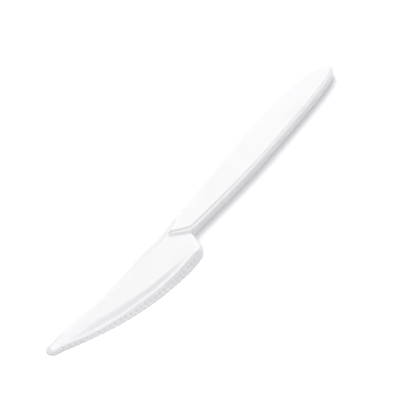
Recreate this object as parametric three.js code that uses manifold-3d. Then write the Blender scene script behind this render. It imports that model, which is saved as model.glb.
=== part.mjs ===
// A disposable white table knife, moulded as one thin-walled piece and lying with its hollow side down.
// Millimetres, +Z up. X runs from the tip of the blade to the end of the handle, and +Y is the spine side.
// The plan is drawn with x from the tip and y from a line along the spine. The finished knife is then moved,
// so that its origin is the middle of its footprint, on the table.
import * as THREE from "three";
import { mergeVertices } from "three/addons/utils/BufferGeometryUtils.js";
import Module from "manifold-3d";

// Plan of the handle
const KNIFE_LENGTH = 165;
const NECK_AT = 57; // the narrowest place, just behind the blade
const NECK_WIDTH = 7.8;
const NECK_MIDDLE = -3; // middle of the handle at the neck
const PALM_AT = 114; // the widest place
const PALM_WIDTH = 11.5;
const END_MIDDLE = 2.1; // middle of the handle at its round end
const END_POWER = 3.2; // squareness of the round end: 2 is an ellipse
const BOLSTER_AT = 57.4; // the slanting step between blade and handle, where it crosses y = 0
const BOLSTER_SLANT = 47.5; // degrees from straight across

// Plan of the blade
const NOSE_RADIUS = 2;
const NOSE_Y = -0.75; // middle of the round nose
const TIP_SLOPE = 17.2; // degrees between the cutting edge and the knife's length, at the tip
const TIP_REACH = 6; // how far the tip's slope carries into the edge
const BELLY_AT = 52; // the deepest place of the cutting edge
const BELLY_DEPTH = 15.2;
const BELLY_REACH = 29;
const SPINE_DIP_AT = 31.4; // the spine is slightly hollow between the nose and the neck
const SPINE_DIP_Y = -0.17;
const SPINE_NOSE_REACH = 8.3;
const SPINE_DIP_REACH = 11.9;
const HEEL_AT = 67.2; // where the heel runs into the wall of the handle
const HEEL_DEPTH = 6.5;
const HEEL_LEAN = 25; // degrees between the heel and straight across, at the handle
const HEEL_REACH = 11;
const HEEL_RISE = 7;
const ROOT_LENGTH = 2.5; // the part of the blade that is buried in the handle

// Heights
const PLATEAU_HEIGHT = 4;
const LEDGE_HEIGHT = 3.45;
const PANEL_HEIGHT = 2.8; // flat of the blade, at the bolster
const TIP_HEIGHT = 1.5; // flat of the blade, at the nose
const SPINE_HEIGHT = 1.5; // outer edge of the spine's chamfer
const GRIND_DEPTH = 0.8; // drop from the flat to the narrow ledge above the teeth, which is the crest
const GRIND_HEEL_DEPTH = 0.05;
const LIP_HEIGHT = 0.3; // blunt height of the cutting edge
const NOSE_LIP_HEIGHT = 0.7;

// Widths across the section
const WALL_DRAFT = 0.15; // how far the handle's wall leans in
const SHOULDER_ROUND = 0.2;
const LEDGE_WIDTH = 0.35;
const BOLSTER_LEDGE = 0.95;
const STEP_RUN = 0.6;
const SPINE_LEDGE_EXTRA = 1.7; // the ledge is wider by this beside the bolster, on the spine side
const SPINE_RAMP = 12; // length over which that ledge climbs from the spine to the handle
const CHAMFER_WIDTH = 1.3; // spine chamfer along the blade
const CHAMFER_ROOT_WIDTH = 2.6; // spine chamfer beside the bolster
const BEVEL_WIDTH = 2.1; // toothed bevel
const BEVEL_FULL_AT = 30; // it is narrower from here to the nose
const HEEL_BEVEL_WIDTH = 0.6;
const CREST_WIDTH = 0.7;
const HEEL_CREST_WIDTH = 0.2;
const GRIND_WIDTH = 2.4; // slope between flat and crest, at its widest
const GRIND_HEEL_WIDTH = 0.5;
const GRIND_FROM = 2; // the slope starts here, behind the nose
const GRIND_DEEP_AT = 16;
const GRIND_WIDE_AT = 18;
const GRIND_FADES_AT = 40; // the crest climbs from here to the flat
const GRIND_ENDS_AT = 61;
const NOSE_BEVEL_WIDTH = 1.2;
const NOSE_STEP_WIDTH = 0.2; // crest and slope are each this wide at the nose

// Teeth
const TOOTH_PITCH = 2.03;
const FIRST_TOOTH = 5; // along the edge from the nose
const LAST_TOOTH = 60;
const GROOVE_RADIUS = 0.45;
const GROOVE_BITE = 1; // how far a gap reaches in at the table
const GROOVE_REACH = 1.5; // how far it reaches in where it runs out on the bevel

// Hollow underside
const WALL_THICKNESS = 1.1;
const RECESS_EDGE_RIM = 2.4; // solid rim under the teeth
const RECESS_SPINE_RIM = 1.6;
const RECESS_FROM = 13; // the tip is solid up to here
const BELOW_TABLE = 1; // cutters reach this far past the rim

// Points along each curve
const SIDE_STEPS = 16;
const CAP_STEPS = 9;
const FRONT_STEPS = 5;
const BLADE_STEPS = 54;
const NOSE_CROWDING = 1.7; // sections stand closer together towards the nose
const GROOVE_SIDES = 8;
const FOLDED_AREA = 1e-6; // a ring with less area than this is closed already
const SAME_POINT = 1e-4; // points nearer than this are one point

const wasm = await Module();
wasm.setup();

const mix = THREE.MathUtils.lerp;
const smooth = THREE.MathUtils.smoothstep;

// A closed mesh becomes a solid that can be joined and cut.
function solidOf(geometry) {
  geometry.deleteAttribute("normal");
  geometry.deleteAttribute("uv");
  const merged = mergeVertices(geometry, SAME_POINT);
  const corners = merged.index.array;
  const kept = [];
  for (let i = 0; i < corners.length; i += 3) {
    const [a, b, c] = corners.slice(i, i + 3);
    if (a !== b && b !== c && c !== a) kept.push(a, b, c);
  }
  const vertProperties = merged.attributes.position.array;
  return new wasm.Manifold(new wasm.Mesh({ numProp: 3, vertProperties, triVerts: new Uint32Array(kept) }));
}

// Rings of equally many points are joined wall by wall. The first and last ring are filled, unless the ring is
// folded flat and closes by itself. flatten gives the two coordinates in which those rings are drawn.
function skin(rings, flatten) {
  const count = rings[0].length;
  const index = [];
  for (let r = 0; r + 1 < rings.length; r += 1) {
    for (let i = 0; i < count; i += 1) {
      const j = (i + 1) % count;
      const [a, b, c, d] = [r * count + i, r * count + j, (r + 1) * count + j, (r + 1) * count + i];
      index.push(a, b, c, a, c, d);
    }
  }
  const fillOf = (ring) => {
    const flat = ring.map(flatten);
    const folded = Math.abs(THREE.ShapeUtils.area(flat)) < FOLDED_AREA;
    return folded ? [] : THREE.ShapeUtils.triangulateShape(flat, []);
  };
  const last = (rings.length - 1) * count;
  for (const [a, b, c] of fillOf(rings[0])) index.push(c, b, a);
  for (const [a, b, c] of fillOf(rings.at(-1))) index.push(last + a, last + b, last + c);
  const geometry = new THREE.BufferGeometry().setFromPoints(rings.flat());
  geometry.setIndex(index);
  return solidOf(geometry);
}

const seenFromAbove = (p) => new THREE.Vector2(p.x, p.y);
const atHeight = (loop, height) => loop.map((p) => new THREE.Vector3(p.x, p.y, height(p)));

// Handle: the middle line swings over to the spine side, and the width swells from neck to palm.
const bolsterSlope = Math.tan(THREE.MathUtils.degToRad(BOLSTER_SLANT));
const middleAt = (x) => mix(NECK_MIDDLE, END_MIDDLE, smooth(x, NECK_AT, KNIFE_LENGTH));
const halfWidthAt = (x) => mix(NECK_WIDTH, PALM_WIDTH, smooth(x, NECK_AT, PALM_AT)) / 2;
const spineY = NECK_MIDDLE + NECK_WIDTH / 2;

// How near a place is to the corner where the bolster meets the spine: 1 in the corner, 0 away from it.
function rampShare(p) {
  const along = 1 - smooth(p.x, BOLSTER_AT, BOLSTER_AT + SPINE_RAMP);
  return along * smooth(p.y, NECK_MIDDLE, spineY);
}
const ledgeHeightAt = (p) => mix(LEDGE_HEIGHT, SPINE_HEIGHT, rampShare(p));

// One closed loop of the handle, moved in by inset along the sides, by setback behind the bolster line,
// and by up to spineExtra more on the spine side beside the bolster.
function handleLoop(inset, setback, spineExtra = 0) {
  const extraAt = (x) => spineExtra * (1 - smooth(x, BOLSTER_AT, BOLSTER_AT + SPINE_RAMP));
  const edgeSide = (x) => new THREE.Vector2(x, middleAt(x) - halfWidthAt(x) + inset);
  const spineSide = (x) => new THREE.Vector2(x, middleAt(x) + halfWidthAt(x) - inset - extraAt(x));
  const front = (y) => BOLSTER_AT - y * bolsterSlope + setback * Math.hypot(1, bolsterSlope);
  const startOf = (side) => {
    let x = BOLSTER_AT;
    for (let pass = 0; pass < 8; pass += 1) x = front(side(x).y);
    return x;
  };
  const steps = (count) => Array.from({ length: count }, (_, i) => i / count);
  const edgeStart = startOf(edgeSide);
  const spineStart = startOf(spineSide);
  const round = (angle, way) => {
    const x = PALM_AT + (KNIFE_LENGTH - inset - PALM_AT) * Math.sin(angle) ** (2 / END_POWER);
    const reach = (PALM_WIDTH / 2 - inset) * Math.abs(Math.cos(angle)) ** (2 / END_POWER);
    return new THREE.Vector2(x, middleAt(x) + way * reach);
  };
  const quarter = Math.PI / 2;
  const first = edgeSide(edgeStart);
  const last = spineSide(spineStart);
  return [
    ...steps(SIDE_STEPS).map((t) => edgeSide(mix(edgeStart, PALM_AT, t))),
    ...steps(CAP_STEPS).map((t) => round(t * quarter, -1)),
    ...steps(CAP_STEPS).map((t) => round((1 - t) * quarter, 1)),
    ...steps(SIDE_STEPS).map((t) => spineSide(mix(PALM_AT, spineStart, t))),
    ...steps(FRONT_STEPS).map((t) => last.clone().lerp(first, t)),
  ];
}

// Insets of the handle's rim, of the foot of the step behind it, and of the flat on top.
const rimInset = WALL_DRAFT + SHOULDER_ROUND;
const stepInset = rimInset + LEDGE_WIDTH;
const plateauInset = stepInset + STEP_RUN;
const stepSetback = SHOULDER_ROUND + BOLSTER_LEDGE;
const plateauSetback = stepSetback + STEP_RUN;

function makeHandle() {
  return skin(
    [
      atHeight(handleLoop(0, 0), () => 0),
      atHeight(handleLoop(WALL_DRAFT, 0), (p) => ledgeHeightAt(p) - SHOULDER_ROUND),
      atHeight(handleLoop(rimInset, SHOULDER_ROUND), ledgeHeightAt),
      atHeight(handleLoop(stepInset, stepSetback, SPINE_LEDGE_EXTRA), ledgeHeightAt),
      atHeight(handleLoop(plateauInset, plateauSetback, SPINE_LEDGE_EXTRA), () => PLATEAU_HEIGHT),
    ],
    seenFromAbove,
  );
}

// The handle is hollowed from below to an even wall, and only under its flat top.
function makeHandleHollow() {
  const lean = plateauInset - WALL_THICKNESS;
  return skin(
    [
      atHeight(handleLoop(WALL_THICKNESS, plateauSetback, SPINE_LEDGE_EXTRA), () => -BELOW_TABLE),
      atHeight(
        handleLoop(plateauInset, plateauSetback + lean, SPINE_LEDGE_EXTRA),
        () => PLATEAU_HEIGHT - WALL_THICKNESS,
      ),
    ],
    seenFromAbove,
  );
}

// Blade: both sides are curves that start at the foremost point of the nose.
const quarterTurn = Math.PI / 2;

function edgeCurve() {
  const tip = THREE.MathUtils.degToRad(TIP_SLOPE);
  const lean = THREE.MathUtils.degToRad(HEEL_LEAN);
  const heel = new THREE.Vector2(HEEL_AT, -HEEL_DEPTH);
  const heelWay = new THREE.Vector2(Math.sin(lean), Math.cos(lean));
  const belly = new THREE.Vector2(BELLY_AT, -BELLY_DEPTH);
  const path = new THREE.Path();
  path.absarc(NOSE_RADIUS, NOSE_Y, NOSE_RADIUS, Math.PI, 3 * quarterTurn - tip, false);
  const fromNose = path.currentPoint.clone();
  const tipPull = fromNose.add(new THREE.Vector2(Math.cos(tip), -Math.sin(tip)).multiplyScalar(TIP_REACH));
  path.bezierCurveTo(tipPull.x, tipPull.y, belly.x - BELLY_REACH, belly.y, belly.x, belly.y);
  const heelPull = heel.clone().addScaledVector(heelWay, -HEEL_RISE);
  path.bezierCurveTo(belly.x + HEEL_REACH, belly.y, heelPull.x, heelPull.y, heel.x, heel.y);
  const root = heel.clone().addScaledVector(heelWay, ROOT_LENGTH);
  path.lineTo(root.x, root.y);
  return path;
}

function spineCurve() {
  const noseTop = NOSE_Y + NOSE_RADIUS;
  const nosePull = NOSE_RADIUS + SPINE_NOSE_REACH;
  const beforeDip = SPINE_DIP_AT - SPINE_DIP_REACH;
  const afterDip = SPINE_DIP_AT + SPINE_DIP_REACH;
  const neckPull = NECK_AT - SPINE_DIP_REACH;
  const path = new THREE.Path();
  path.absarc(NOSE_RADIUS, NOSE_Y, NOSE_RADIUS, Math.PI, quarterTurn, true);
  path.bezierCurveTo(nosePull, noseTop, beforeDip, SPINE_DIP_Y, SPINE_DIP_AT, SPINE_DIP_Y);
  path.bezierCurveTo(afterDip, SPINE_DIP_Y, neckPull, spineY, NECK_AT, spineY);
  path.lineTo(HEEL_AT, spineY);
  path.lineTo(HEEL_AT + ROOT_LENGTH, spineY - ROOT_LENGTH);
  return path;
}

const edge = edgeCurve();
const spine = spineCurve();

// A place on one side of the blade, with the direction that points into the blade there.
function sideAt(curve, share, turn) {
  const tangent = curve.getTangent(share);
  const across = new THREE.Vector2(-tangent.y, tangent.x).multiplyScalar(turn);
  return { point: curve.getPoint(share), inward: share > 0 ? across : new THREE.Vector2(1, 0) };
}
const panelHeightAt = (x) => mix(TIP_HEIGHT, PANEL_HEIGHT, THREE.MathUtils.clamp(x / BOLSTER_AT, 0, 1));
const noseShape = (x) => smooth(x, 0, GRIND_WIDE_AT);
const noseWidth = NOSE_BEVEL_WIDTH + 2 * NOSE_STEP_WIDTH;

// Widths and heights across the cutting side: bevel, crest and slope, from the nose to the heel.
function edgeProfileAt(x) {
  const grown = Math.min(1, x / BEVEL_FULL_AT);
  const heel = smooth(x, BELLY_AT, HEEL_AT);
  const shaped = noseShape(x);
  const narrowed = THREE.MathUtils.clamp((x - GRIND_WIDE_AT) / (GRIND_ENDS_AT - GRIND_WIDE_AT), 0, 1);
  const deep = smooth(x, GRIND_FROM, GRIND_DEEP_AT) * (1 - smooth(x, GRIND_FADES_AT, GRIND_ENDS_AT));
  return {
    shaped,
    bevel: mix(mix(NOSE_BEVEL_WIDTH, BEVEL_WIDTH, grown), HEEL_BEVEL_WIDTH, heel),
    crest: mix(mix(NOSE_STEP_WIDTH, CREST_WIDTH, shaped), HEEL_CREST_WIDTH, heel),
    slope: mix(NOSE_STEP_WIDTH, mix(GRIND_WIDTH, GRIND_HEEL_WIDTH, narrowed), shaped),
    crestHeight: panelHeightAt(x) - mix(GRIND_HEEL_DEPTH, GRIND_DEPTH, deep),
    lip: mix(NOSE_LIP_HEIGHT, LIP_HEIGHT, shaped),
  };
}

// Widths and heights across the spine side: a low wall and a chamfer up to the flat.
function spineProfileAt(x) {
  const shaped = noseShape(x);
  const full = mix(CHAMFER_WIDTH, CHAMFER_ROOT_WIDTH, smooth(x, SPINE_DIP_AT, BOLSTER_AT));
  return { chamfer: mix(noseWidth, full, shaped), height: mix(NOSE_LIP_HEIGHT, SPINE_HEIGHT, shaped) };
}

// One closed section of the blade, from the foot of the spine over the flat to the foot of the edge.
// At the nose both sides have the same plain chamfer, so that they close on each other.
function bladeRing(share) {
  const cut = sideAt(edge, share, 1);
  const back = sideAt(spine, share, -1);
  const e = edgeProfileAt(cut.point.x);
  const s = spineProfileAt(back.point.x);
  const place = (side, inset, height) => {
    const p = side.point.clone().addScaledVector(side.inward, inset);
    return new THREE.Vector3(p.x, p.y, height ?? panelHeightAt(p.x));
  };
  const edgeTop = place(cut, e.bevel + e.crest + e.slope);
  const edgeStep = (inset) => {
    const plain = mix(e.lip, edgeTop.z, inset / (e.bevel + e.crest + e.slope));
    return place(cut, inset, mix(plain, e.crestHeight, e.shaped));
  };
  const spineTop = place(back, s.chamfer);
  const spineStep = (width) => {
    const part = width / noseWidth;
    return place(back, part * s.chamfer, mix(s.height, spineTop.z, part));
  };
  return [
    place(back, 0, 0),
    spineStep(0),
    spineStep(NOSE_BEVEL_WIDTH),
    spineStep(NOSE_BEVEL_WIDTH + NOSE_STEP_WIDTH),
    spineTop,
    edgeTop,
    edgeStep(e.bevel + e.crest),
    edgeStep(e.bevel),
    place(cut, 0, e.lip),
    place(cut, 0, 0),
  ];
}

function makeBlade() {
  const shares = Array.from({ length: BLADE_STEPS + 1 }, (_, i) => (i / BLADE_STEPS) ** NOSE_CROWDING);
  return skin(shares.map(bladeRing), (p) => new THREE.Vector2(p.y, p.z));
}

// The back of the blade is hollowed to an even wall, with a solid rim under the teeth and along the spine.
function makeBladeHollow() {
  const shares = Array.from({ length: BLADE_STEPS }, (_, i) => (i / BLADE_STEPS) ** NOSE_CROWDING);
  const within = (side) => side.point.x >= RECESS_FROM && side.point.x <= HEEL_AT;
  const moved = (inset) => (side) => side.point.clone().addScaledVector(side.inward, inset);
  const edgeSides = shares.map((share) => sideAt(edge, share, 1)).filter(within);
  const spineSides = shares.map((share) => sideAt(spine, share, -1)).filter(within);
  const loop = [
    ...edgeSides.map(moved(RECESS_EDGE_RIM)),
    ...spineSides.map(moved(RECESS_SPINE_RIM)).reverse(),
  ];
  return skin(
    [atHeight(loop, () => -BELOW_TABLE), atHeight(loop, (p) => panelHeightAt(p.x) - WALL_THICKNESS)],
    seenFromAbove,
  );
}

// Each tooth gap is a round groove that bites into the foot of the bevel and runs out below the crest.
function makeGroove(along) {
  const { point, inward } = sideAt(edge, along / edge.getLength(), 1);
  const e = edgeProfileAt(point.x);
  const axisAt = (inset, height) => {
    const p = point.clone().addScaledVector(inward, inset - GROOVE_RADIUS);
    return new THREE.Vector3(p.x, p.y, height);
  };
  const reach = Math.min(GROOVE_REACH, e.bevel);
  const foot = axisAt(Math.min(GROOVE_BITE, e.bevel), 0);
  const head = axisAt(reach, mix(e.lip, e.crestHeight, reach / e.bevel));
  const way = head.clone().sub(foot);
  const length = way.length() + 2 * BELOW_TABLE;
  const groove = new THREE.CylinderGeometry(GROOVE_RADIUS, GROOVE_RADIUS, length, GROOVE_SIDES);
  const upright = THREE.Object3D.DEFAULT_UP;
  groove.applyQuaternion(new THREE.Quaternion().setFromUnitVectors(upright, way.normalize()));
  const middle = foot.clone().lerp(head, 0.5);
  groove.translate(middle.x, middle.y, middle.z);
  return solidOf(groove);
}

function makeKnife() {
  let solid = makeHandle().add(makeBlade());
  solid = solid.subtract(makeHandleHollow()).subtract(makeBladeHollow());
  for (let along = FIRST_TOOTH; along <= LAST_TOOTH; along += TOOTH_PITCH) {
    solid = solid.subtract(makeGroove(along));
  }
  const { vertProperties, triVerts } = solid.getMesh();
  const geometry = new THREE.BufferGeometry();
  geometry.setAttribute("position", new THREE.BufferAttribute(vertProperties, 3));
  geometry.setIndex(new THREE.BufferAttribute(triVerts, 1));
  geometry.computeBoundingBox();
  const middle = geometry.boundingBox.getCenter(new THREE.Vector3());
  geometry.translate(-middle.x, -middle.y, 0);
  geometry.computeVertexNormals();
  const plastic = new THREE.MeshStandardMaterial({ color: 0xf3f3f6, roughness: 0.35, metalness: 0 });
  const mesh = new THREE.Mesh(geometry, plastic);
  mesh.name = "knife";
  return mesh;
}

const tableKnife = new THREE.Group();
tableKnife.add(makeKnife());

export default tableKnife;
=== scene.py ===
import math

import bmesh
import bpy
import numpy as np
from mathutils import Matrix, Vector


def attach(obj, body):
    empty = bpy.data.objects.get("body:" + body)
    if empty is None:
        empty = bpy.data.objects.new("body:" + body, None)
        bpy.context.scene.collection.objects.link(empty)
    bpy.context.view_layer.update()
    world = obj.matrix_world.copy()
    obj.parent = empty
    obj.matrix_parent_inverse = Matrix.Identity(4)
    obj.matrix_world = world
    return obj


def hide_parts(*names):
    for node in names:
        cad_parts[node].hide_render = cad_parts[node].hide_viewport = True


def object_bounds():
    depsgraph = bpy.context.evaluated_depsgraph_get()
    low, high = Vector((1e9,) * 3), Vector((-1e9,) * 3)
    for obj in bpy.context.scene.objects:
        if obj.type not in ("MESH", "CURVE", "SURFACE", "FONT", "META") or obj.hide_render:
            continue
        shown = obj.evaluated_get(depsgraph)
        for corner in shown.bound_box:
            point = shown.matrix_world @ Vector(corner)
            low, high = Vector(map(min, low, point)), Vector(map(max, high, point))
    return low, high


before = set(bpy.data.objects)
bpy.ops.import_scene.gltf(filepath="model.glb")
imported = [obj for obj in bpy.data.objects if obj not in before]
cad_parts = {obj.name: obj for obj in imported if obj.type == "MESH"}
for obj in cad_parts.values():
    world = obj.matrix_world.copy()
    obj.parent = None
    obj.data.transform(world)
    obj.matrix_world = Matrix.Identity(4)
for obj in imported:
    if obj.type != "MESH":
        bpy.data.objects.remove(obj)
cad_low, cad_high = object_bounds()

# The outline of the knife, which is the parting line of the mould it is shot in.
# It is drawn in millimetres, x from the nose and y towards the spine, as two sides that start
# together at the nose and meet again at the end of the handle.
MM = 0.001
KNIFE_LENGTH = (cad_high.x - cad_low.x) / MM
NOSE_RADIUS = 2.0
NOSE_Y = -0.75
TIP_SLOPE = math.radians(17.2)
TIP_REACH = 6.0
BELLY_AT = 52.0
BELLY_DEPTH = 15.2
BELLY_REACH = 29.0
HEEL_AT = 67.2
HEEL_DEPTH = 6.5
HEEL_LEAN = math.radians(25)
HEEL_REACH = 11.0
HEEL_RISE = 7.0
HEEL_FILLET = 0.5
FILLET_FULLNESS = 0.6
SPINE_DIP_AT = 31.4
SPINE_DIP_Y = -0.17
SPINE_NOSE_REACH = 8.3
SPINE_DIP_REACH = 11.9
NECK_AT = 57.0
NECK_WIDTH = 7.8
NECK_MIDDLE = -3.0
PALM_AT = 114.0
PALM_WIDTH = 11.5
END_MIDDLE = 2.1
END_POWER = 3.2  # squareness of the round end: 2 is an ellipse
CURVE_POINTS = 600


def mix(a, b, share):
    """The value that lies the given share of the way from a to b."""
    return a + (b - a) * share


def ease(x, low, high):
    """0 below low, 1 above high, and between them the cubic 3t^2 - 2t^3."""
    t = np.clip((x - low) / (high - low), 0.0, 1.0)
    return t * t * (3.0 - 2.0 * t)


def arc(centre, radius, start, stop):
    """Points on a circle: centre + radius (cos, sin) of an angle that runs from start to stop."""
    angle = np.linspace(start, stop, CURVE_POINTS)
    return np.stack([centre[0] + radius * np.cos(angle), centre[1] + radius * np.sin(angle)], axis=1)


def bezier(start, pull_start, pull_stop, stop):
    """Points on a cubic curve: the four points weighted by the Bernstein polynomials of t, 0 to 1."""
    t = np.linspace(0.0, 1.0, CURVE_POINTS)[:, None]
    ends = (1 - t) ** 3 * np.array(start) + t ** 3 * np.array(stop)
    return ends + 3 * t * (1 - t) ** 2 * np.array(pull_start) + 3 * t ** 2 * (1 - t) * np.array(pull_stop)


def handle_middle(x):
    """The handle's middle line eases from the neck over to the spine side."""
    return mix(NECK_MIDDLE, END_MIDDLE, ease(x, NECK_AT, KNIFE_LENGTH))


def handle_half_width(x):
    """Half the handle's width eases from the neck to the palm."""
    return mix(NECK_WIDTH, PALM_WIDTH, ease(x, NECK_AT, PALM_AT)) / 2


def handle_side(start, way):
    """One side of the handle: the swelling stretch to the palm, then a superellipse to the end.
    The superellipse is x = sin^(2/p), reach = cos^(2/p) of an angle from 0 to a right angle."""
    x = np.linspace(start, PALM_AT, CURVE_POINTS)
    swell = np.stack([x, handle_middle(x) + way * handle_half_width(x)], axis=1)
    angle = np.linspace(0.0, math.pi / 2, CURVE_POINTS)
    x = PALM_AT + (KNIFE_LENGTH - PALM_AT) * np.sin(angle) ** (2 / END_POWER)
    reach = PALM_WIDTH / 2 * np.maximum(np.cos(angle), 0.0) ** (2 / END_POWER)
    reach[-1] = 0.0
    cap = np.stack([x, handle_middle(x) + way * reach], axis=1)
    return np.concatenate([swell, cap[1:]])


def blade_edge():
    """The cutting side: nose arc, a long curve to the belly, and the round heel up to the handle."""
    nose = arc((NOSE_RADIUS, NOSE_Y), NOSE_RADIUS, math.pi, 1.5 * math.pi - TIP_SLOPE)
    pull = nose[-1] + TIP_REACH * np.array([math.cos(TIP_SLOPE), -math.sin(TIP_SLOPE)])
    belly = np.array([BELLY_AT, -BELLY_DEPTH])
    long_curve = bezier(nose[-1], pull, belly - (BELLY_REACH, 0), belly)
    heel = np.array([HEEL_AT, -HEEL_DEPTH])
    rise = HEEL_RISE * np.array([math.sin(HEEL_LEAN), math.cos(HEEL_LEAN)])
    heel_curve = bezier(belly, belly + (HEEL_REACH, 0), heel - rise, heel)
    heel_x = heel_curve[:, 0]
    handle_foot = handle_middle(heel_x) - handle_half_width(heel_x)
    below = heel_curve[:, 1] < handle_foot - HEEL_FILLET
    return np.concatenate([nose, long_curve[1:], heel_curve[below][1:]])


def blade_spine():
    """The spine side: a quarter of the nose arc, then two curves that dip between nose and neck."""
    nose = arc((NOSE_RADIUS, NOSE_Y), NOSE_RADIUS, math.pi, math.pi / 2)
    top = nose[-1]
    dip = np.array([SPINE_DIP_AT, SPINE_DIP_Y])
    neck = np.array([NECK_AT, NECK_MIDDLE + NECK_WIDTH / 2])
    pull = (SPINE_DIP_REACH, 0)
    fall = bezier(top, top + (SPINE_NOSE_REACH, 0), dip - pull, dip)
    return np.concatenate([nose, fall[1:], bezier(dip, dip + pull, neck - pull, neck)[1:]])


def heel_fillet(before, after):
    """A cubic curve that leaves the heel and joins the handle in the directions they have there."""
    leave = (before[-1] - before[-2]) / np.linalg.norm(before[-1] - before[-2])
    join = (after[1] - after[0]) / np.linalg.norm(after[1] - after[0])
    reach = HEEL_FILLET * FILLET_FULLNESS
    return bezier(before[-1], before[-1] + reach * leave, after[0] - reach * join, after[0])


edge_of_blade = blade_edge()
edge_of_handle = handle_side(edge_of_blade[-1, 0] + HEEL_FILLET, -1)
fillet = heel_fillet(edge_of_blade, edge_of_handle)
spine_of_handle = handle_side(NECK_AT, 1)
edge_line = np.concatenate([edge_of_blade, fillet[1:], edge_of_handle[1:]])
spine_line = np.concatenate([blade_spine(), spine_of_handle[1:]])

# Cross-sections through the knife, each from the cutting side to the spine side.
# They stand close together along the teeth, fan out round the corner behind the heel so that they
# lie along the slanting step of the bolster, and then spread over the handle.
BLADE_SECTIONS = 400
CORNER_SECTIONS = 48
HANDLE_SECTIONS = 190
HANDLE_CROWDING = 1.6  # sections stand closer together towards the end of the handle
CORNER_SPINE_FROM = 54.2
CORNER_SPINE_TO = 63.4
EDGE_BAND = 4.4  # width of the close columns along each side
SPINE_BAND = 3.4
EDGE_COLUMNS = 37
MIDDLE_COLUMNS = 21
SPINE_COLUMNS = 25
BAND_SHARE = 0.7  # most of a section's width that both bands may take
HEEL_PINCH = 0.3  # share by which the edge band is narrower in the corner behind the heel
HEEL_PINCH_REACH = 4.0


def lengths(line):
    """Distance along a line of points, from its first point to each."""
    steps = np.hypot(*np.diff(line, axis=0).T)
    return np.concatenate([[0.0], np.cumsum(steps)])


def along(line, distance):
    """Points and unit directions at given distances along a line, between its points."""
    travelled = lengths(line)
    ways = np.gradient(line, travelled, axis=0)
    ways /= np.linalg.norm(ways, axis=1, keepdims=True)
    place = np.stack([np.interp(distance, travelled, line[:, k]) for k in (0, 1)], axis=1)
    way = np.stack([np.interp(distance, travelled, ways[:, k]) for k in (0, 1)], axis=1)
    return place, way / np.linalg.norm(way, axis=1, keepdims=True)


def spread(stops):
    """Distances of all sections along one side, from the four places where their spacing changes."""
    crowded = 1 - (1 - np.linspace(0, 1, HANDLE_SECTIONS)) ** HANDLE_CROWDING
    return np.concatenate([
        np.linspace(stops[0], stops[1], BLADE_SECTIONS, endpoint=False),
        np.linspace(stops[1], stops[2], CORNER_SECTIONS, endpoint=False),
        mix(stops[2], stops[3], crowded),
    ])


edge_lengths = lengths(edge_line)
spine_lengths = lengths(spine_line)
corner_stops = edge_lengths[[len(edge_of_blade) - 1, len(edge_of_blade) + len(fillet) - 2]]
past_nose = spine_line[:, 0] > NOSE_RADIUS
corner_spine = [CORNER_SPINE_FROM, CORNER_SPINE_TO]
spine_stops = np.interp(corner_spine, spine_line[past_nose, 0][:-1], spine_lengths[past_nose][:-1])
edge_travel = spread([0.0, *corner_stops, edge_lengths[-1]])
spine_travel = spread([0.0, *spine_stops, spine_lengths[-1]])
edge_place, edge_way = along(edge_line, edge_travel)
spine_place, spine_way = along(spine_line, spine_travel)
edge_in = np.stack([-edge_way[:, 1], edge_way[:, 0]], axis=1)
spine_in = np.stack([spine_way[:, 1], -spine_way[:, 0]], axis=1)
edge_in[0] = spine_in[0] = (1, 0)
edge_in[-1] = spine_in[-1] = (-1, 0)
sections = len(edge_travel)
section_width = np.hypot(*(edge_place - spine_place).T)
squeezed = np.minimum(1.0, BAND_SHARE * section_width / (EDGE_BAND + SPINE_BAND))[:, None]
pinched = HEEL_PINCH * np.exp(-((edge_travel - corner_stops[0]) / HEEL_PINCH_REACH) ** 2)[:, None]
edge_inset = np.linspace(0, EDGE_BAND, EDGE_COLUMNS)[None] * squeezed * (1 - pinched)
spine_inset = np.linspace(SPINE_BAND, 0, SPINE_COLUMNS)[None] * squeezed

# The toothed edge, a bevel with a row of round hollows moulded into it and a notch at the foot of each.
# The bevel widens from the nose to the belly. It runs on round the plain heel, and is narrow where
# the corner of the blade's flat comes out to it.
BEVEL_WIDTH = 2.1
BEVEL_FULL_AT = 30.0
NOSE_BEVEL_WIDTH = 0.8
HEEL_BEVEL_WIDTH = 1.7
HEEL_CORNER_AT = 61.3
HEEL_CORNER_SPREAD = 2.2
HEEL_CORNER_NARROWING = 0.9
TOOTH_PITCH = 2.03
FIRST_TOOTH = 5.0  # along the edge from the nose
LAST_TOOTH = 60.0
GAP_RADIUS = 0.45
GAP_BITE = 0.2  # how far a notch reaches in at the table
GAP_REACH = 0.7  # how far in it runs out on the bevel
HOLLOW_AT = 0.42  # share of the bevel's width, from its foot
HOLLOW_RADIUS = 0.34  # share of the bevel's width
HOLLOW_DEPTH = 0.7  # share of the bevel's height
END_FULLNESS = 1.4


def fullness(x):
    """How much rounder the handle's walls are than at the neck: 1 there, easing to more at the end."""
    return mix(1.0, END_FULLNESS, ease(x, HEEL_AT, KNIFE_LENGTH))


edge_x = edge_place[:, :1]
spine_x = spine_place[:, :1]
grown = np.clip(edge_x / BEVEL_FULL_AT, 0, 1)
heel_share = ease(edge_x, BELLY_AT, HEEL_AT)
bevel = mix(mix(NOSE_BEVEL_WIDTH, BEVEL_WIDTH, grown), HEEL_BEVEL_WIDTH, heel_share)
bevel -= HEEL_CORNER_NARROWING * np.exp(-((edge_x - HEEL_CORNER_AT) / HEEL_CORNER_SPREAD) ** 2)
off_tooth = (edge_travel - FIRST_TOOTH + TOOTH_PITCH / 2) % TOOTH_PITCH - TOOTH_PITCH / 2
toothed = (edge_travel > FIRST_TOOTH - GAP_RADIUS) & (edge_travel < LAST_TOOTH + GAP_RADIUS)
gap = np.sqrt(np.clip(1 - (off_tooth / GAP_RADIUS) ** 2, 0, 1)) * toothed
gap_reach = np.minimum(GAP_REACH, bevel)
gap_depth = gap[:, None] * gap_reach * GAP_BITE / GAP_REACH
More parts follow.
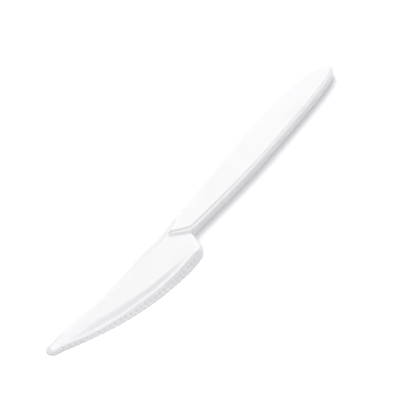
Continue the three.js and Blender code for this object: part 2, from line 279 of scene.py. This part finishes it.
off_hollow = np.hypot(off_tooth[:, None], edge_inset - HOLLOW_AT * bevel) / (HOLLOW_RADIUS * bevel)
hollow = np.clip(1 - off_hollow ** 2, 0, 1) ** 2 * toothed[:, None]
edge_drafted = ease(edge_x, HEEL_AT - HEEL_FILLET, HEEL_AT + HEEL_FILLET) * fullness(edge_x)
spine_drafted = ease(spine_x, NECK_AT, NECK_AT + SPINE_DIP_REACH) * fullness(spine_x)


def plan(draft):
    """x and y of every column of every section: insets along the inward normals of both sides,
    straight lines between them, the draft of the handle's walls, and the notches of the teeth, which
    push the foot of the bevel in and run out on it."""
    pushed = edge_inset + draft * edge_drafted + gap_depth * np.clip(1 - edge_inset / gap_reach, 0, 1)
    from_edge = edge_place[:, None] + pushed[..., None] * edge_in[:, None]
    drawn_in = spine_inset + draft * spine_drafted
    from_spine = spine_place[:, None] + drawn_in[..., None] * spine_in[:, None]
    share = np.linspace(0, 1, MIDDLE_COLUMNS + 2)[None, 1:-1, None]
    between = mix(from_edge[:, -1:], from_spine[:, :1], share)
    return np.concatenate([from_edge, between, from_spine], axis=1)


# The upper face: a flat blade with a chamfered spine and a ground slope down to the crest above the
# teeth, and a handle that stands higher, with a narrow ledge all round a raised flat.
# The ledge and the flat start in two slanting steps across the neck.
PLATEAU_HEIGHT = (cad_high.z - cad_low.z) / MM
LEDGE_HEIGHT = 3.45
PALM_LEDGE_HEIGHT = 3.7
PANEL_HEIGHT = 2.8  # flat of the blade, at the bolster
TIP_HEIGHT = 0.9  # flat of the blade, at the nose
SPINE_HEIGHT = 1.5
LIP_HEIGHT = 0.1  # blunt height of the cutting edge
NOSE_LIP_HEIGHT = 0.3
WALL_DRAFT = 0.2
SHOULDER_ROUND = 0.25
FLAT_INSET = 1.35
STEP_RUN = 0.5
PALM_STEP_RUN = 0.7
BOLSTER_AT = 57.3
BOLSTER_SLANT = math.radians(47.5)
BOLSTER_ROUND = 0.85
HEEL_ROUND = 0.5
FLAT_AT = 58.75
FLAT_SLANT = math.radians(53.6)
SPINE_LEDGE_EXTRA = 1.7  # the ledge is wider by this beside the bolster, on the spine side
SPINE_RAMP = 12.0
CHAMFER_WIDTH = 1.3
CHAMFER_ROOT_WIDTH = 2.6
CREST_WIDTH = 0.85
GRIND_DEPTH = 0.55  # drop from the flat to the crest
GRIND_HEEL_DEPTH = 0.02
GRIND_WIDTH = 2.4
GRIND_HEEL_WIDTH = 0.8
GRIND_FROM = 4.0
GRIND_DEEP_AT = 16.0
GRIND_WIDE_AT = 18.0
GRIND_FADES_AT = 40.0
GRIND_ENDS_AT = 61.0
NOSE_STEP_WIDTH = 0.2
SEARCH_ROWS = 40
SEARCH_SPACING = 0.12


def distance_to(line, points):
    """Distance from every point of a grid to the nearest of evenly spaced points on a line, a batch
    of sections at a time."""
    marks = along(line, np.arange(0.0, lengths(line)[-1], SEARCH_SPACING))[0]
    found = []
    for rows in np.array_split(points, len(points) // SEARCH_ROWS):
        apart = rows[:, :, None] - marks[None, None]
        found.append(np.sqrt((apart ** 2).sum(axis=3).min(axis=2)))
    return np.concatenate(found)


def side_distances(points):
    """Distances in from the blade's edge, from the spine and from the handle's cutting side. The last
    one is negative outside the handle, and its line runs on under the heel to the bolster."""
    from_edge = distance_to(edge_of_blade, points)
    from_edge[:BLADE_SECTIONS, :EDGE_COLUMNS] = edge_inset[:BLADE_SECTIONS]
    from_spine = distance_to(spine_line, points)
    handle_line = handle_side(NECK_AT, -1)
    outside = points[..., 1] < np.interp(points[..., 0], handle_line[:, 0], handle_line[:, 1])
    from_handle = distance_to(handle_line, points) * np.where(outside, -1, 1)
    return from_edge, from_spine, from_handle


def eased_step(x, low, high):
    """0 below low and 1 above high, and between them the mean of a straight line and the cubic."""
    straight = np.clip((x - low) / (high - low), 0, 1)
    return (straight + ease(x, low, high)) / 2


def flat_of_blade(x):
    """Height of the blade's flat, which climbs evenly from the tip to the bolster."""
    return mix(TIP_HEIGHT, PANEL_HEIGHT, np.clip(x / BOLSTER_AT, 0, 1))


def blade_height(points, from_edge, from_spine):
    """Height of the blade: the lower of two profiles. From the edge it climbs the bevel, stays level
    on the crest and climbs the ground slope in an eased step. From the spine it climbs the chamfer.
    Both end at the flat. The hollows take off a share of the height."""
    x = points[..., 0]
    flat = flat_of_blade(x)
    shaped = ease(edge_x, 0, GRIND_WIDE_AT)
    crest = mix(NOSE_STEP_WIDTH, CREST_WIDTH, shaped)
    narrowed = np.clip((edge_x - GRIND_WIDE_AT) / (GRIND_ENDS_AT - GRIND_WIDE_AT), 0, 1)
    slope = mix(NOSE_STEP_WIDTH, mix(GRIND_WIDTH, GRIND_HEEL_WIDTH, narrowed), shaped)
    lip = mix(NOSE_LIP_HEIGHT, LIP_HEIGHT, shaped)
    faded = ease(edge_x, GRIND_FADES_AT, GRIND_ENDS_AT)
    deep = ease(edge_x, GRIND_FROM, GRIND_DEEP_AT) * (1 - faded)
    crest_height = flat_of_blade(edge_x) - mix(GRIND_HEEL_DEPTH, GRIND_DEPTH, deep)
    on_bevel = np.clip(from_edge / bevel, 0, 1)
    on_slope = eased_step(from_edge, bevel + crest, bevel + crest + slope)
    edge_side = mix(lip, crest_height, on_bevel) + (flat - crest_height) * on_slope
    chamfer = mix(CHAMFER_WIDTH, CHAMFER_ROOT_WIDTH, ease(x, SPINE_DIP_AT, BOLSTER_AT))
    shoulder = mix(NOSE_LIP_HEIGHT, SPINE_HEIGHT, ease(x, 0, GRIND_WIDE_AT))
    spine_side = mix(shoulder, flat, np.clip(from_spine / chamfer, 0, 1))
    height = np.minimum(edge_side, spine_side)
    height[:, :EDGE_COLUMNS] -= HOLLOW_DEPTH * hollow * height[:, :EDGE_COLUMNS]
    return height


def behind(points, start, slant):
    """Distance behind a slanting line across the knife, which meets the long axis at start."""
    return (points[..., 0] - start) * math.cos(slant) + points[..., 1] * math.sin(slant)


def spine_corner(points):
    """1 in the corner where the bolster meets the spine, easing to 0 along the handle."""
    return 1 - ease(points[..., 0], BOLSTER_AT, BOLSTER_AT + SPINE_RAMP)


def flat_share(points, from_spine, from_handle):
    """0 on the ledge and 1 on the raised flat, with an eased step between them that grows wider from
    the bolster to the palm."""
    inside = np.minimum(from_handle, behind(points, FLAT_AT, FLAT_SLANT) + FLAT_INSET - STEP_RUN / 2)
    inside = np.minimum(inside, from_spine - SPINE_LEDGE_EXTRA * spine_corner(points))
    run = mix(STEP_RUN, PALM_STEP_RUN, ease(points[..., 0], HEEL_AT, PALM_AT))
    return eased_step(inside, FLAT_INSET - run, FLAT_INSET)


def handle_height(points, from_spine, from_handle):
    """Height of the handle: ledge and flat, less the quarter round of the shoulder. In the spine
    corner the ledge ramps down to the spine, and towards the palm it rises."""
    spine_y = NECK_MIDDLE + NECK_WIDTH / 2
    lowered = spine_corner(points) * ease(points[..., 1], NECK_MIDDLE, spine_y)
    ledge = mix(LEDGE_HEIGHT, PALM_LEDGE_HEIGHT, ease(points[..., 0], HEEL_AT, PALM_AT))
    ledge = mix(ledge, SPINE_HEIGHT, lowered)
    flat = flat_share(points, from_spine, from_handle)
    fuller = fullness(points[..., 0])
    shoulder = SHOULDER_ROUND * fuller
    near_side = np.clip(np.minimum(from_spine, from_handle) - WALL_DRAFT * fuller, 0, shoulder)
    fall = shoulder - np.sqrt(shoulder ** 2 - (shoulder - near_side) ** 2)
    return mix(ledge, PLATEAU_HEIGHT, flat) - fall


def upper_face():
    """Points of the upper face. The handle rises out of the blade behind the bolster, and beside the
    heel out of its own cutting side."""
    points = plan(WALL_DRAFT)
    from_edge, from_spine, from_handle = side_distances(points)
    blade = blade_height(points, from_edge, from_spine)
    handle = handle_height(points, from_spine, from_handle)
    clear_of_heel = ease(points[..., 0], HEEL_AT - HEEL_FILLET, HEEL_AT)
    risen = np.maximum(ease(from_handle, 0, HEEL_ROUND), clear_of_heel)
    behind_bolster = behind(points, BOLSTER_AT, BOLSTER_SLANT)
    risen = np.minimum(risen, eased_step(behind_bolster, 0, BOLSTER_ROUND))
    return np.concatenate([points, mix(blade, handle, risen)[..., None]], axis=2)


# The hidden underside, left hollow by the mould's core so that the wall is even and cools quickly.
# It stands on a plain rim all round, and the tip is solid. Along the handle the rim is rounded off
# at the table.
FOOT_TUCK = 0.25
WALL_THICKNESS = 1.1
RECESS_EDGE_RIM = 2.4
RECESS_SPINE_RIM = 1.6
RECESS_FROM = 13.0
CORE_DRAFT = 0.4


def under_face():
    """Points of the underside: level with the table on the rim, and up to the wall's thickness below
    the upper face inside it, with drafted sides."""
    points = plan(FOOT_TUCK)
    from_edge, from_spine, from_handle = side_distances(points)
    x = points[..., 0]
    inside = np.minimum(from_edge - RECESS_EDGE_RIM, from_spine - RECESS_SPINE_RIM)
    inside = np.minimum(inside, np.minimum(x - RECESS_FROM, HEEL_AT - x))
    in_blade = (flat_of_blade(x) - WALL_THICKNESS) * np.clip(inside / CORE_DRAFT, 0, 1)
    inside = np.minimum(from_handle, behind(points, FLAT_AT, FLAT_SLANT))
    inside = np.minimum(inside, from_spine - SPINE_LEDGE_EXTRA * spine_corner(points)) - WALL_THICKNESS
    in_handle = (PLATEAU_HEIGHT - WALL_THICKNESS) * np.clip(inside / CORE_DRAFT, 0, 1)
    return np.concatenate([points, np.maximum(in_blade, in_handle)[..., None]], axis=2)


# The knife itself, one closed moulding.
# Each section becomes a ring: over the upper face, down the spine wall, back along the underside and
# up the edge wall. The rings close on themselves at the nose and at the end of the handle.
WALL_ROWS = 6
UNDER_THINNING = 2  # the underside has every second column only
FOOT_POWER = 6
SAME_POINT = 2e-6  # metres
SLIVER = SAME_POINT / 10
CREASE = math.radians(40)


def wall(top, foot, outline):
    """Points of a bowed side wall, from the rim of the upper face to the foot. Its height falls in
    equal steps. It lies in from the outline by the rim's inset times the square of the share of height
    left, and by the foot's inset times a high power of the share of height covered."""
    left = np.linspace(1, 0, WALL_ROWS + 2)[None, 1:-1, None]
    inset = (top[:, :2] - outline)[:, None] * left ** 2
    tuck = (foot[:, :2] - outline)[:, None] * (1 - left) ** FOOT_POWER
    height = mix(foot[:, None, 2:], top[:, None, 2:], left)
    return np.concatenate([outline[:, None] + inset + tuck, height], axis=2)


def knife_mesh():
    """Rings of equally many points, joined by quads in the order of the sections, in metres in the
    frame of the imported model."""
    upper = upper_face()
    under = under_face()[:, ::-UNDER_THINNING]
    outline = plan(0.0)
    spine_wall = wall(upper[:, -1], under[:, 0], outline[:, -1])
    edge_wall = wall(upper[:, 0], under[:, -1], outline[:, 0])
    rings = np.concatenate([upper, spine_wall, under, edge_wall[:, ::-1]], axis=1)
    count = rings.shape[1]
    place = rings * MM + (cad_low.x, cad_low.y + BELLY_DEPTH * MM, cad_low.z)
    row, column = np.meshgrid(np.arange(sections - 1), np.arange(count), indexing="ij")
    here = row * count + column
    beside = row * count + (column + 1) % count
    quads = np.stack([here, here + count, beside + count, beside], axis=2)
    mesh = bpy.data.meshes.new("moulded_knife")
    mesh.from_pydata(place.reshape(-1, 3), [], quads.reshape(-1, 4))
    work = bmesh.new()
    work.from_mesh(mesh)
    bmesh.ops.remove_doubles(work, verts=work.verts, dist=SAME_POINT)
    bmesh.ops.dissolve_degenerate(work, edges=work.edges, dist=SLIVER)
    work.to_mesh(mesh)
    work.free()
    mesh.polygons.foreach_set("use_smooth", np.ones(len(mesh.polygons), bool))
    mesh.set_sharp_from_angle(angle=CREASE)
    return mesh


# White polystyrene, straight from a polished mould: a clean cool white with a soft gloss.
# The melt leaves faint streaks along the knife, and the mould's polish shows as a very fine
# unevenness. Light goes a little way into the plastic.
PLASTIC_WHITE = (0.95, 0.95, 0.965)
PLASTIC_SHADE = (0.935, 0.935, 0.95)
PLASTIC_GLOSS = 0.34
PLASTIC_DULL = 0.44
PLASTIC_IOR = 1.59
MILKINESS = 0.85
MILK_DEPTH = 1.2 * MM
EVEN_DEPTH = (1.0, 1.0, 1.0)  # red, green and blue go in equally far
THIN_MILKINESS = 0.15
THICK = 2.2 * MM
STREAK_STRETCH = (0.25, 1.0, 1.0)
STREAK_SCALE = 140.0  # cycles per metre
STREAK_DETAIL = 3.0
TINT_FROM = 0.35  # the streaks' noise runs between these
DULL_FROM = 0.3
STREAK_TO = 0.7
GRAIN_SCALE = 2600.0
GRAIN_DETAIL = 2.0
GRAIN_STRENGTH = 0.15
GRAIN_HEIGHT = 0.04 * MM
MIX_FIRST = 6  # the colour sockets of a Mix node
MIX_SECOND = 7
MIX_RESULT = 2


def add_node(tree, kind, **settings):
    """A new shader node with the given properties."""
    node = tree.nodes.new(kind)
    for name, value in settings.items():
        setattr(node, name, value)
    return node


def noise(tree, place, scale, detail):
    """A noise texture of a given scale, in cycles per metre, read at a place."""
    texture = add_node(tree, "ShaderNodeTexNoise")
    texture.inputs["Scale"].default_value = scale
    texture.inputs["Detail"].default_value = detail
    tree.links.new(place, texture.inputs["Vector"])
    return texture.outputs["Fac"]


def ramp(tree, value, low, high, start=0.0, stop=1.0):
    """A value that runs from start to stop while the input runs from low to high."""
    node = add_node(tree, "ShaderNodeMapRange")
    for name, number in (("From Min", low), ("From Max", high), ("To Min", start), ("To Max", stop)):
        node.inputs[name].default_value = number
    tree.links.new(value, node.inputs["Value"])
    return node.outputs["Result"]


def two_tone(tree, share, first, second):
    """A colour that goes from the first to the second as the share goes from 0 to 1."""
    tint = add_node(tree, "ShaderNodeMix", data_type="RGBA")
    tint.inputs[MIX_FIRST].default_value = (*first, 1)
    tint.inputs[MIX_SECOND].default_value = (*second, 1)
    tree.links.new(share, tint.inputs["Factor"])
    return tint.outputs[MIX_RESULT]


def white_polystyrene():
    """Flow streaks stretched along the knife tint the white and change its gloss, and a fine grain
    bumps it. Light spreads inside the thick parts, and is thrown straight back by the sheet under the
    thin edges."""
    material = bpy.data.materials.new("white_polystyrene")
    material.use_nodes = True
    tree = material.node_tree
    shader = tree.nodes["Principled BSDF"]
    shader.inputs["IOR"].default_value = PLASTIC_IOR
    shader.inputs["Subsurface Radius"].default_value = EVEN_DEPTH
    shader.inputs["Subsurface Scale"].default_value = MILK_DEPTH
    place = add_node(tree, "ShaderNodeTexCoord").outputs["Object"]
    split = add_node(tree, "ShaderNodeSeparateXYZ")
    tree.links.new(place, split.inputs[0])
    milk = ramp(tree, split.outputs["Z"], 0.0, THICK, THIN_MILKINESS, MILKINESS)
    tree.links.new(milk, shader.inputs["Subsurface Weight"])
    stretch = add_node(tree, "ShaderNodeMapping")
    stretch.inputs["Scale"].default_value = STREAK_STRETCH
    tree.links.new(place, stretch.inputs["Vector"])
    streaks = noise(tree, stretch.outputs["Vector"], STREAK_SCALE, STREAK_DETAIL)
    shaded = ramp(tree, streaks, TINT_FROM, STREAK_TO)
    tree.links.new(two_tone(tree, shaded, PLASTIC_WHITE, PLASTIC_SHADE), shader.inputs["Base Color"])
    dulled = ramp(tree, streaks, DULL_FROM, STREAK_TO, PLASTIC_GLOSS, PLASTIC_DULL)
    tree.links.new(dulled, shader.inputs["Roughness"])
    bump = add_node(tree, "ShaderNodeBump")
    bump.inputs["Strength"].default_value = GRAIN_STRENGTH
    bump.inputs["Distance"].default_value = GRAIN_HEIGHT
    tree.links.new(noise(tree, place, GRAIN_SCALE, GRAIN_DETAIL), bump.inputs["Height"])
    tree.links.new(bump.outputs["Normal"], shader.inputs["Normal"])
    return material


def add_object(name, data):
    """A new object at the origin that holds the given mesh, lamp or camera."""
    thing = bpy.data.objects.new(name, data)
    bpy.context.scene.collection.objects.link(thing)
    return thing


knife = add_object("moulded_knife", knife_mesh())
knife.data.materials.append(white_polystyrene())
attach(knife, "root")
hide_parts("knife")

# The sweep that the knife lies on, a seamless white sheet, burnt out to pure white in the photograph.
# It is a little brighter where it is looked at, and not where it lights the knife, so that only the
# contact shadow shows on it. That contact shadow is painted shade: close to the knife, the looked-at
# colour turns grey.
FLOOR_SIZE = 6.0
FLOOR_WHITE = (0.93, 0.93, 0.94)
FLOOR_BURNT = (1.2, 1.2, 1.22)
# painted shadow: the grey that the looked-at sheet is painted close to the knife, how far that reaches,
# and the shares of open sky at which it is full and at which it is gone
FLOOR_PAINTED_SHADOW = (0.86, 0.86, 0.87)
PAINTED_SHADOW_REACH = 12 * MM
PAINTED_SHADOW_FULL = 0.66  # share of open sky at which the painted contact shadow is full
PAINTED_SHADOW_NONE = 0.88


def looked_at(tree):
    """1 for rays from the camera, straight, mirrored or through something clear, and 0 for scattered
    light."""
    path = add_node(tree, "ShaderNodeLightPath")
    seen = path.outputs["Is Camera Ray"]
    for name in ("Is Glossy Ray", "Is Transmission Ray"):
        either = add_node(tree, "ShaderNodeMath", operation="MAXIMUM")
        tree.links.new(seen, either.inputs[0])
        tree.links.new(path.outputs[name], either.inputs[1])
        seen = either.outputs[0]
    return seen


def finish_backdrop(tree, plain, seen, output):
    """Sends the plain shader to the output for scattered light, and the other where it is looked at."""
    both = add_node(tree, "ShaderNodeMixShader")
    tree.links.new(looked_at(tree), both.inputs[0])
    tree.links.new(plain.outputs[0], both.inputs[1])
    tree.links.new(seen.outputs[0], both.inputs[2])
    tree.links.new(both.outputs[0], tree.nodes[output].inputs["Surface"])


def floor_paint():
    """A matt white, and a brighter one for the rays that look at it. A contact shadow is painted into the
    brighter one close to the knife, where little open sky is left over the sheet."""
    material = bpy.data.materials.new("white_sweep_painted_shadow")
    material.use_nodes = True
    tree = material.node_tree
    tree.nodes.remove(tree.nodes["Principled BSDF"])
    plain = add_node(tree, "ShaderNodeBsdfDiffuse")
    plain.inputs["Color"].default_value = (*FLOOR_WHITE, 1)
    burnt = add_node(tree, "ShaderNodeBsdfDiffuse")
    # painted contact shadow: where the knife leaves less open sky over the sheet, the looked-at colour is
    # mixed towards the grey
    open_sky = add_node(tree, "ShaderNodeAmbientOcclusion")
    open_sky.inputs["Distance"].default_value = PAINTED_SHADOW_REACH
    out_of_painted_shadow = ramp(tree, open_sky.outputs["AO"], PAINTED_SHADOW_FULL, PAINTED_SHADOW_NONE)
    tree.links.new(two_tone(tree, out_of_painted_shadow, FLOOR_PAINTED_SHADOW, FLOOR_BURNT), burnt.inputs["Color"])
    finish_backdrop(tree, plain, burnt, "Material Output")
    return material


half = FLOOR_SIZE / 2
corners = [(-half, -half, 0), (half, -half, 0), (half, half, 0), (-half, half, 0)]
floor_sheet = bpy.data.meshes.new("floor")
floor_sheet.from_pydata(corners, [], [(0, 1, 2, 3)])
floor_sheet.materials.append(floor_paint())
floor = add_object("floor", floor_sheet)

# The light: a large soft box overhead, a smaller one beyond the knife, and a dim, pale room around
# them. The flats mirror the box beyond the knife softly, and every slope turns away from it and is a
# little darker.
OVERHEAD_SIZE = 1.8
OVERHEAD_POWER = 6.9
OVERHEAD_PLACE = (0.0, 0.05, 1.5)
FACING_DOWN = (0.0, 0.0, 0.0)
BEYOND_SIZE = 1.1
BEYOND_POWER = 7.4
BEYOND_AZIMUTH = math.radians(-52)
BEYOND_ELEVATION = math.radians(43)
BEYOND_DISTANCE = 1.5
ROOM_COLOUR = (0.945, 0.945, 0.965)
ROOM_LIGHT = 0.56
PURE_WHITE = (1.0, 1.0, 1.0)


def soft_box(name, size, power, place, turn):
    """A square area lamp of a given size and power, at a place and turned to the knife."""
    lamp = bpy.data.lights.new(name, "AREA")
    lamp.shape = "SQUARE"
    lamp.size = size
    lamp.energy = power
    box = add_object(name, lamp)
    box.location = place
    box.rotation_euler = turn


def direction(azimuth, elevation):
    """The unit vector from the knife towards a place seen at an azimuth and an elevation."""
    level = math.cos(elevation)
    return np.array([math.sin(azimuth) * level, -math.cos(azimuth) * level, math.sin(elevation)])


soft_box("overhead_box", OVERHEAD_SIZE, OVERHEAD_POWER, OVERHEAD_PLACE, FACING_DOWN)
across = BEYOND_AZIMUTH + math.pi
beyond_place = BEYOND_DISTANCE * direction(across, BEYOND_ELEVATION)
beyond_turn = (math.pi / 2 - BEYOND_ELEVATION, 0, across)
soft_box("beyond_box", BEYOND_SIZE, BEYOND_POWER, beyond_place, beyond_turn)

world = bpy.data.worlds.new("white_room")
world.use_nodes = True
bpy.context.scene.world = world
room_tree = world.node_tree
room_light = room_tree.nodes["Background"]
room_light.inputs["Color"].default_value = (*ROOM_COLOUR, 1)
room_light.inputs["Strength"].default_value = ROOM_LIGHT
white_beyond = add_node(room_tree, "ShaderNodeBackground")
white_beyond.inputs["Color"].default_value = (*PURE_WHITE, 1)
white_beyond.inputs["Strength"].default_value = 1.0
finish_backdrop(room_tree, room_light, white_beyond, "World Output")

# The camera, a short telephoto that looks down on the knife from in front of the blade's edge.
# The knife then runs across the square picture from its lower left to its upper right.
CAMERA_AZIMUTH = math.radians(-56.375)
CAMERA_ELEVATION = math.radians(40)
CAMERA_DISTANCE = 0.6
CAMERA_LENS = 168.5  # millimetres, as the sensor
CAMERA_SENSOR = 36.0
NEAREST_SEEN = 0.01
AIM = np.array([0.278, 5.494, 0.0]) * MM

lens = bpy.data.cameras.new("camera")
lens.lens = CAMERA_LENS
lens.sensor_width = CAMERA_SENSOR
lens.clip_start = NEAREST_SEEN
camera = add_object("camera", lens)
camera.location = AIM + CAMERA_DISTANCE * direction(CAMERA_AZIMUTH, CAMERA_ELEVATION)
camera.rotation_euler = (math.pi / 2 - CAMERA_ELEVATION, 0, CAMERA_AZIMUTH)
bpy.context.scene.camera = camera
bpy.context.scene.view_settings.view_transform = "Standard"
